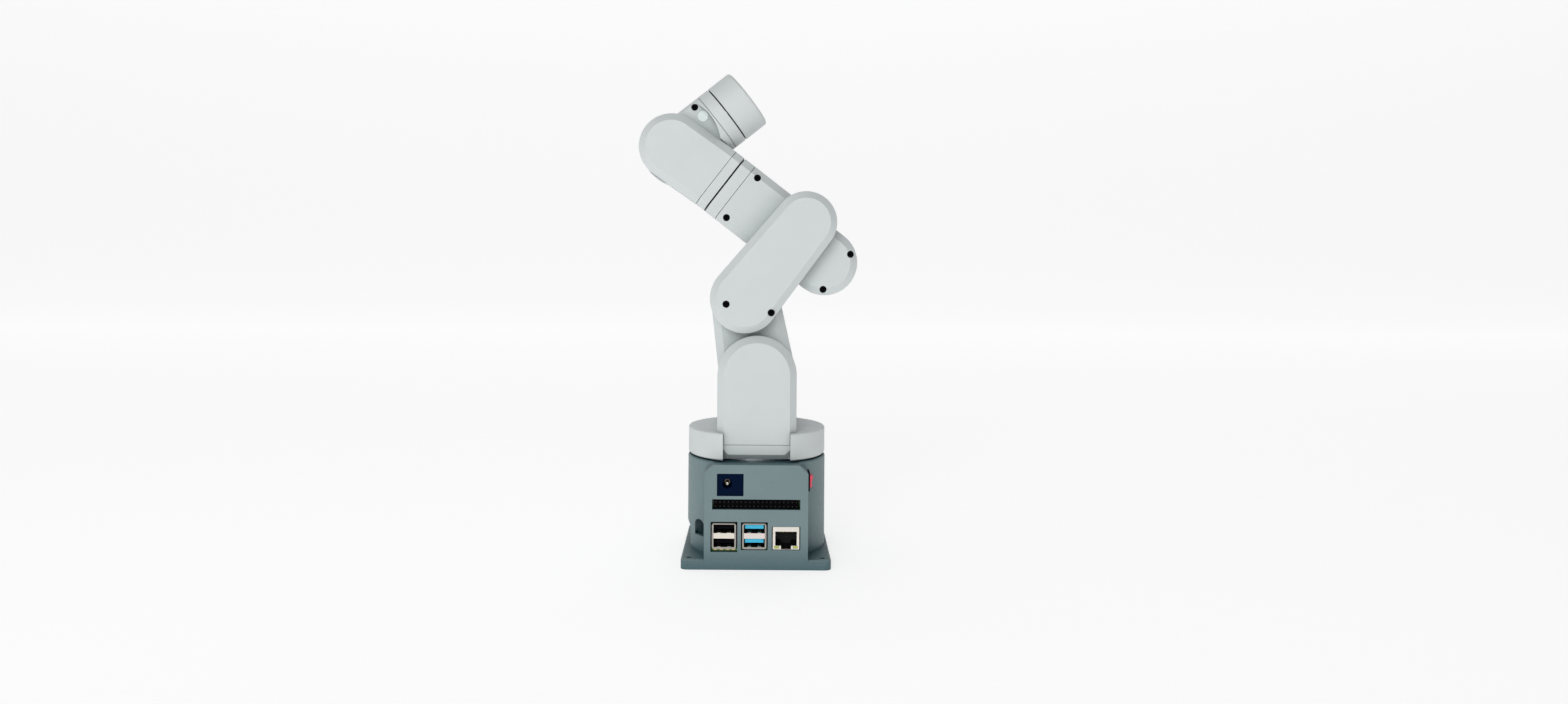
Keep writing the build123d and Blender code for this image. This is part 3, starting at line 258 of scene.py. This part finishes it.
def inside_box(tree, low_mm, high_mm):
    """1 within a box in object coordinates, 0 outside it."""
    coordinates = tree.nodes.new("ShaderNodeTexCoord")
    split = tree.nodes.new("ShaderNodeSeparateXYZ")
    tree.links.new(coordinates.outputs["Object"], split.inputs["Vector"])
    factor = None
    for axis in range(3):
        for operation, limit in (("GREATER_THAN", low_mm[axis]), ("LESS_THAN", high_mm[axis])):
            test = tree.nodes.new("ShaderNodeMath")
            test.operation = operation
            test.inputs[1].default_value = limit * MM
            tree.links.new(split.outputs[axis], test.inputs[0])
            if factor is None:
                factor = test.outputs["Value"]
                continue
            both = tree.nodes.new("ShaderNodeMath")
            both.operation = "MULTIPLY"
            tree.links.new(factor, both.inputs[0])
            tree.links.new(test.outputs["Value"], both.inputs[1])
            factor = both.outputs["Value"]
    return factor


def socket_metal(name, colour, patches):
    """Tinned sheet with other colours inside boxes, such as the insulator in an opening."""
    material = metal(name, colour, 0.5, metallic=0.2)
    tree = material.node_tree
    shader = tree.nodes["Principled BSDF"]
    for low_mm, high_mm, other in patches:
        under = shader.inputs["Base Color"].links[0].from_socket
        mix = tree.nodes.new("ShaderNodeMix")
        mix.data_type = "RGBA"
        mix.inputs["B"].default_value = (*other, 1.0)
        tree.links.new(inside_box(tree, low_mm, high_mm), mix.inputs["Factor"])
        tree.links.new(under, mix.inputs["A"])
        tree.links.new(mix.outputs["Result"], shader.inputs["Base Color"])
    return material


WHITE = (0.66, 0.70, 0.70)
SLATE = (0.178, 0.25, 0.262)
materials = {
    "white_shell": moulded("white_moulding", WHITE, 0.52),
    "slate_shell": moulded("slate_moulding", SLATE, 0.55, drift=0.06),
    "screw_black": metal("blackened_steel", (0.006, 0.006, 0.006), 0.5),
    "green_board": circuit_board("green_board", (0.045, 0.17, 0.03), (0.10, 0.30, 0.07)),
    "black_plastic": moulded("black_moulding", (0.003, 0.003, 0.004), 0.6, specular=0.02),
    "bare_metal": metal("tinned_steel", (0.86, 0.83, 0.78), 0.3),
    "blue_plastic": moulded("blue_moulding", (0.035, 0.50, 0.76), 0.4),
    "led_lens": moulded("light_window", (0.47, 0.52, 0.07), 0.25),
    # Gold header pins coloured near-black: painted shade for the shadow they sit in inside the
    # wall's opening.
    "gold_pin": metal("gold_in_painted_shade", (0.03, 0.028, 0.024), 0.5, metallic=0.6),
    "navy_plastic": moulded("navy_moulding", (0.0015, 0.007, 0.026), 0.6, specular=0.02),
    "red_plastic": moulded("red_moulding", (0.95, 0.07, 0.13), 0.3),
    "bearing_steel": metal("ground_steel", (0.55, 0.56, 0.58), 0.25),
    "horn_metal": metal("machined_aluminium", (0.62, 0.63, 0.64), 0.35),
    "clear_lens": moulded("milky_lens", (0.74, 0.82, 0.81), 0.22, grain_mm=1.5, height_mm=0.004),
}
add_contact_shade(
    materials["slate_shell"], deep=(0.02, 0.075, 0.095), reach_mm=28.0, strength=0.95, full_at=0.4
)
add_contact_shade(
    materials["white_shell"], deep=(0.20, 0.23, 0.235), reach_mm=14.0, strength=0.5, full_at=0.2
)
GOLD = metal("gold_plate", (0.83, 0.62, 0.25), 0.3)

# ---- Sockets: places and sizes in millimetres, as in the CAD ---------------------------
USB_FRONT = -44.6
USB_LEVELS = (16.0, 24.3)        # middle of the lower and the upper opening
USB_DIVIDER_Z = (18.4, 21.9)
USB_OPENINGS_Z = (13.3, 27.0)
USB2_X = -19.1
USB3_X = -1.0
ETHERNET_X = 17.9
ETHERNET_FRONT = -44.7
ETHERNET_OPENING_Z = (12.3, 23.0)
FACE_T = 0.3                     # depth of a case's front face
SOCKET_BACK = -20.0
BOARD_FRONT = -42.3
BOARD_MID_Z = 11.6
DC_PIN = (-17.3, -43.9, 51.1)
SOCKET_BLACK = (0.003, 0.003, 0.0035)
DULL_BRASS = metal("dull_brass", (0.30, 0.23, 0.14), 0.45)


def usb_case(name, centre_x, divider):
    """Dull case with a pale divider and black openings."""
    face_back = USB_FRONT + FACE_T
    half_divider, half_opening = 6.2, 6.35
    patches = [
        (
            (centre_x - half_divider, USB_FRONT - 1, USB_DIVIDER_Z[0]),
            (centre_x + half_divider, face_back, USB_DIVIDER_Z[1]),
            divider,
        ),
        (
            (centre_x - half_opening, face_back, USB_OPENINGS_Z[0]),
            (centre_x + half_opening, SOCKET_BACK, USB_OPENINGS_Z[1]),
            SOCKET_BLACK,
        ),
    ]
    return socket_metal(name, (0.40, 0.375, 0.34), patches)


node_materials = {
    "usb2_stack": usb_case("usb2_case", USB2_X, (0.80, 0.75, 0.66)),
    "usb3_stack": usb_case("usb3_case", USB3_X, (0.80, 0.70, 0.67)),
    "ethernet_jack": socket_metal(
        "ethernet_case",
        (0.86, 0.81, 0.74),
        [
            (
                (ETHERNET_X - 6.5, ETHERNET_FRONT + FACE_T, ETHERNET_OPENING_Z[0]),
                (ETHERNET_X + 6.5, SOCKET_BACK, ETHERNET_OPENING_Z[1]),
                SOCKET_BLACK,
            )
        ],
    ),
}


# ---- CAD nodes: softened edges and materials ------------------------------------------
EDGE_MM = {
    "white_shell": 0.35,
    "slate_shell": 0.35,
    "red_plastic": 0.4,
    "navy_plastic": 0.2,
    "clear_lens": 0.6,
}
SMALL_EDGE_MM = 0.08
WELD_MM = 0.002
SHARPER_THAN = math.radians(24)  # edges that are rounded


def smooth_group():
    """Node group that drops the imported normals and shades every face smooth."""
    group = bpy.data.node_groups.new("shade_smooth", "GeometryNodeTree")
    group.interface.new_socket("Geometry", in_out="INPUT", socket_type="NodeSocketGeometry")
    group.interface.new_socket("Geometry", in_out="OUTPUT", socket_type="NodeSocketGeometry")
    start = group.nodes.new("NodeGroupInput")
    end = group.nodes.new("NodeGroupOutput")
    remove = group.nodes.new("GeometryNodeRemoveAttribute")
    remove.inputs["Name"].default_value = "custom_normal"
    faces = group.nodes.new("GeometryNodeSetShadeSmooth")
    edges = group.nodes.new("GeometryNodeSetShadeSmooth")
    edges.domain = "EDGE"
    group.links.new(start.outputs[0], remove.inputs["Geometry"])
    group.links.new(remove.outputs["Geometry"], faces.inputs["Geometry"])
    group.links.new(faces.outputs["Geometry"], edges.inputs["Geometry"])
    group.links.new(edges.outputs["Geometry"], end.inputs[0])
    return group


def soften(piece, edge_mm, group):
    """Weld the mesh, shade it smooth, and round its edges a little."""
    weld = piece.modifiers.new("weld", "WELD")
    weld.merge_threshold = WELD_MM * MM
    smooth = piece.modifiers.new("smooth", "NODES")
    smooth.node_group = group
    bevel = piece.modifiers.new("edges", "BEVEL")
    bevel.width = edge_mm * MM
    bevel.segments = 2
    bevel.limit_method = "ANGLE"
    bevel.angle_limit = SHARPER_THAN
    bevel.use_clamp_overlap = True
    bevel.miter_outer = "MITER_ARC"
    normals = piece.modifiers.new("normals", "WEIGHTED_NORMAL")
    normals.keep_sharp = False
    normals.weight = 60


def dress_cad_nodes():
    group = smooth_group()
    slots = {row["node"]: row["material_slot"] for row in frame["record"]["subparts"]}
    for name, node in frame["nodes"].items():
        slot = slots[name]
        node.data.materials.clear()
        node.data.materials.append(node_materials.get(name, materials[slot]))
        soften(node, EDGE_MM.get(slot, SMALL_EDGE_MM), group)


# ---- Small details in the sockets -----------------------------------------------------
def add_boxes(name, boxes, material, body="base"):
    """One piece made of small boxes: centre and size in millimetres, and a tilt about X."""
    shape = bmesh.new()
    for centre, size, tilt in boxes:
        turn = Matrix.Rotation(math.radians(tilt), 4, "X")
        scale = Matrix.Diagonal((size[0] * MM, size[1] * MM, size[2] * MM, 1.0))
        place = Matrix.Translation(Vector(centre) * MM)
        bmesh.ops.create_cube(shape, size=1.0, matrix=place @ turn @ scale)
    mesh = bpy.data.meshes.new(name)
    shape.to_mesh(mesh)
    shape.free()
    mesh.materials.append(material)
    piece = bpy.data.objects.new(name, mesh)
    bpy.context.scene.collection.objects.link(piece)
    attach(piece, body)


def add_usb_details(name, centre_x, tongue_below):
    """Contacts under each tongue, and spring leaves on the floor of each opening."""
    contacts = []
    leaves = []
    for level in USB_LEVELS:
        for x in (-3.5, -1.1, 1.1, 3.5):
            at = (centre_x + x, USB_FRONT + 5.4, level - tongue_below)
            contacts.append((at, (1.0, 7.0, 0.18), 0))
        for x in (-3.0, 3.0):
            leaves.append(((centre_x + x, USB_FRONT + 2.6, level - 2.2), (2.2, 4.6, 0.25), 6))
    add_boxes(name + "_contacts", contacts, GOLD)
    add_boxes(name + "_springs", leaves, materials["bare_metal"])


def add_ethernet_wires():
    """Eight contact wires that lean down into the network socket."""
    pitch = 1.02
    wires = []
    for i in range(8):
        x = ETHERNET_X + (i - 3.5) * pitch
        wires.append(((x, ETHERNET_FRONT + 6.0, 20.6), (0.4, 7.6, 0.3), -24))
    add_boxes("ethernet_wires", wires, GOLD)


def add_board_pads():
    """Plated pads on the board's edge below the first double socket."""
    pads = [
        ((USB2_X + x, BOARD_FRONT - 0.1, BOARD_MID_Z), (2.0, 0.3, 0.7), 0)
        for x in (-5.2, -1.6, 2.2, 5.6)
    ]
    add_boxes("board_pads", pads, GOLD)


def add_barrel_spring():
    """Contact loop round the power socket's pin."""
    above_pin = 1.3
    bpy.ops.mesh.primitive_torus_add(
        location=Vector(DC_PIN) * MM + Vector((0, 0, above_pin * MM)),
        rotation=(math.pi / 2, 0, 0),
        major_radius=1.35 * MM,
        minor_radius=0.17 * MM,
        major_segments=36,
        minor_segments=10,
    )
    loop = bpy.context.object
    loop.name = "barrel_spring"
    loop.data.materials.append(DULL_BRASS)
    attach(loop, "base")


# ---- Build --------------------------------------------------------------------------
add_camera()
add_world(bright=0.50, dim=0.04, towards=(-0.7, -0.3, 0.65))
add_floor()
add_area_light("key", (-0.5, -1.8, 0.85), size=1.0, power=11.2, colour=(0.985, 1.0, 0.997))
add_area_light("front", (0.1, -2.0, 0.35), size=1.2, power=2.4, colour=(0.96, 1.0, 0.99))
bpy.context.scene.view_settings.view_transform = "Standard"
dress_cad_nodes()
add_usb_details("usb2", USB2_X, 0.35)
add_usb_details("usb3", USB3_X, 0.1)
add_ethernet_wires()
add_board_pads()
add_barrel_spring()
